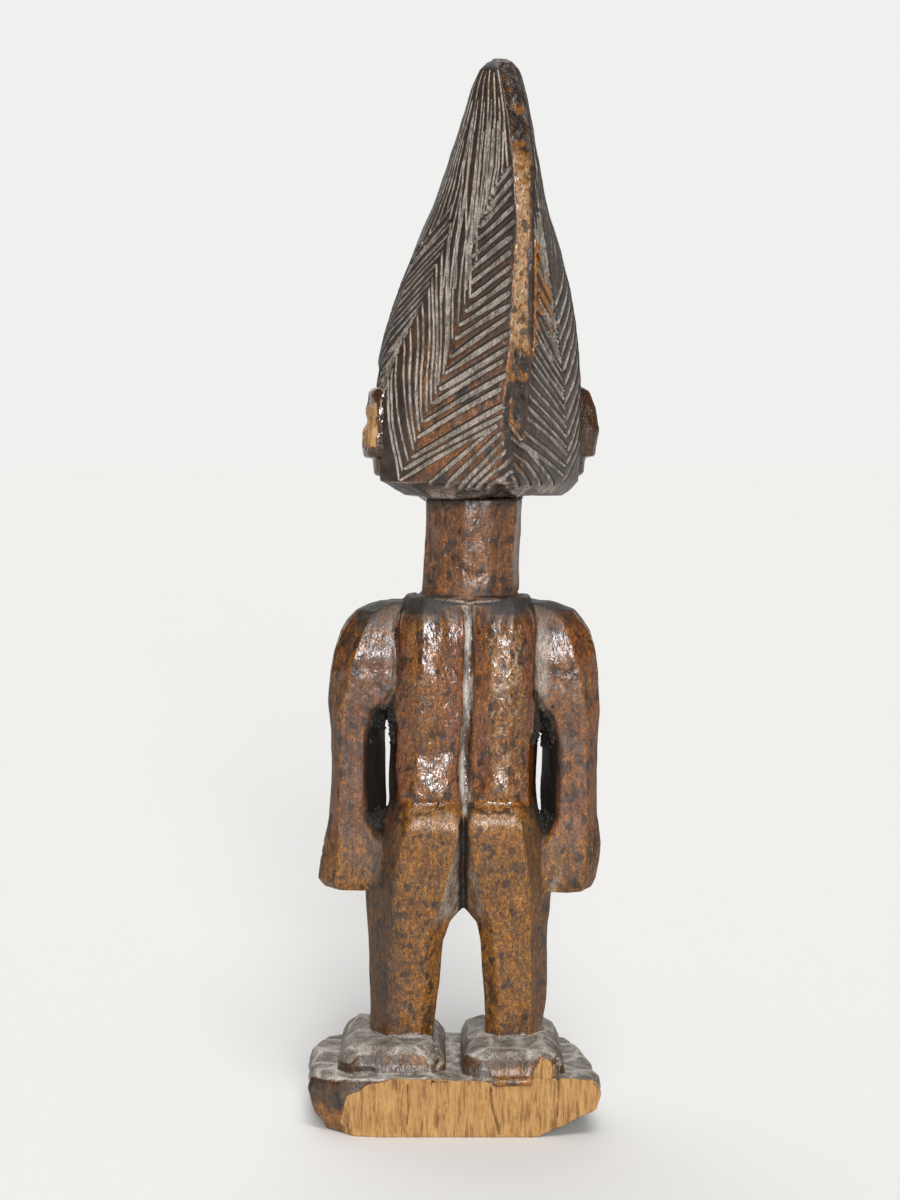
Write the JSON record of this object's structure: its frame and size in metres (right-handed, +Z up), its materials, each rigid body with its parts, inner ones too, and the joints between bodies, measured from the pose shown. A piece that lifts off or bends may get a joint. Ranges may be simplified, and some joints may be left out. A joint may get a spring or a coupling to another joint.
{
  "type": "ibeji figure",
  "caption": "Carved wooden standing figure with arms at its sides and a tall crest of hair cut in herringbone rows, in one piece with a base that is broken off flat at the back.",
  "frame": {"origin": "on the flat underside of the base, below the neck", "axes": "+Z up along the figure, -Y the way the body faces, +X towards the figure's left"},
  "size_m": [0.0769, 0.0606, 0.2715],
  "materials": {
    "wood": "hand-carved hardwood with a dark, waxy, handled patina, worn to golden brown on the edges, grey dust in the cuts and bare wood on the break"
  },
  "bodies": {
    "root": {"figure": "wood"}
  },
  "joints": []
}
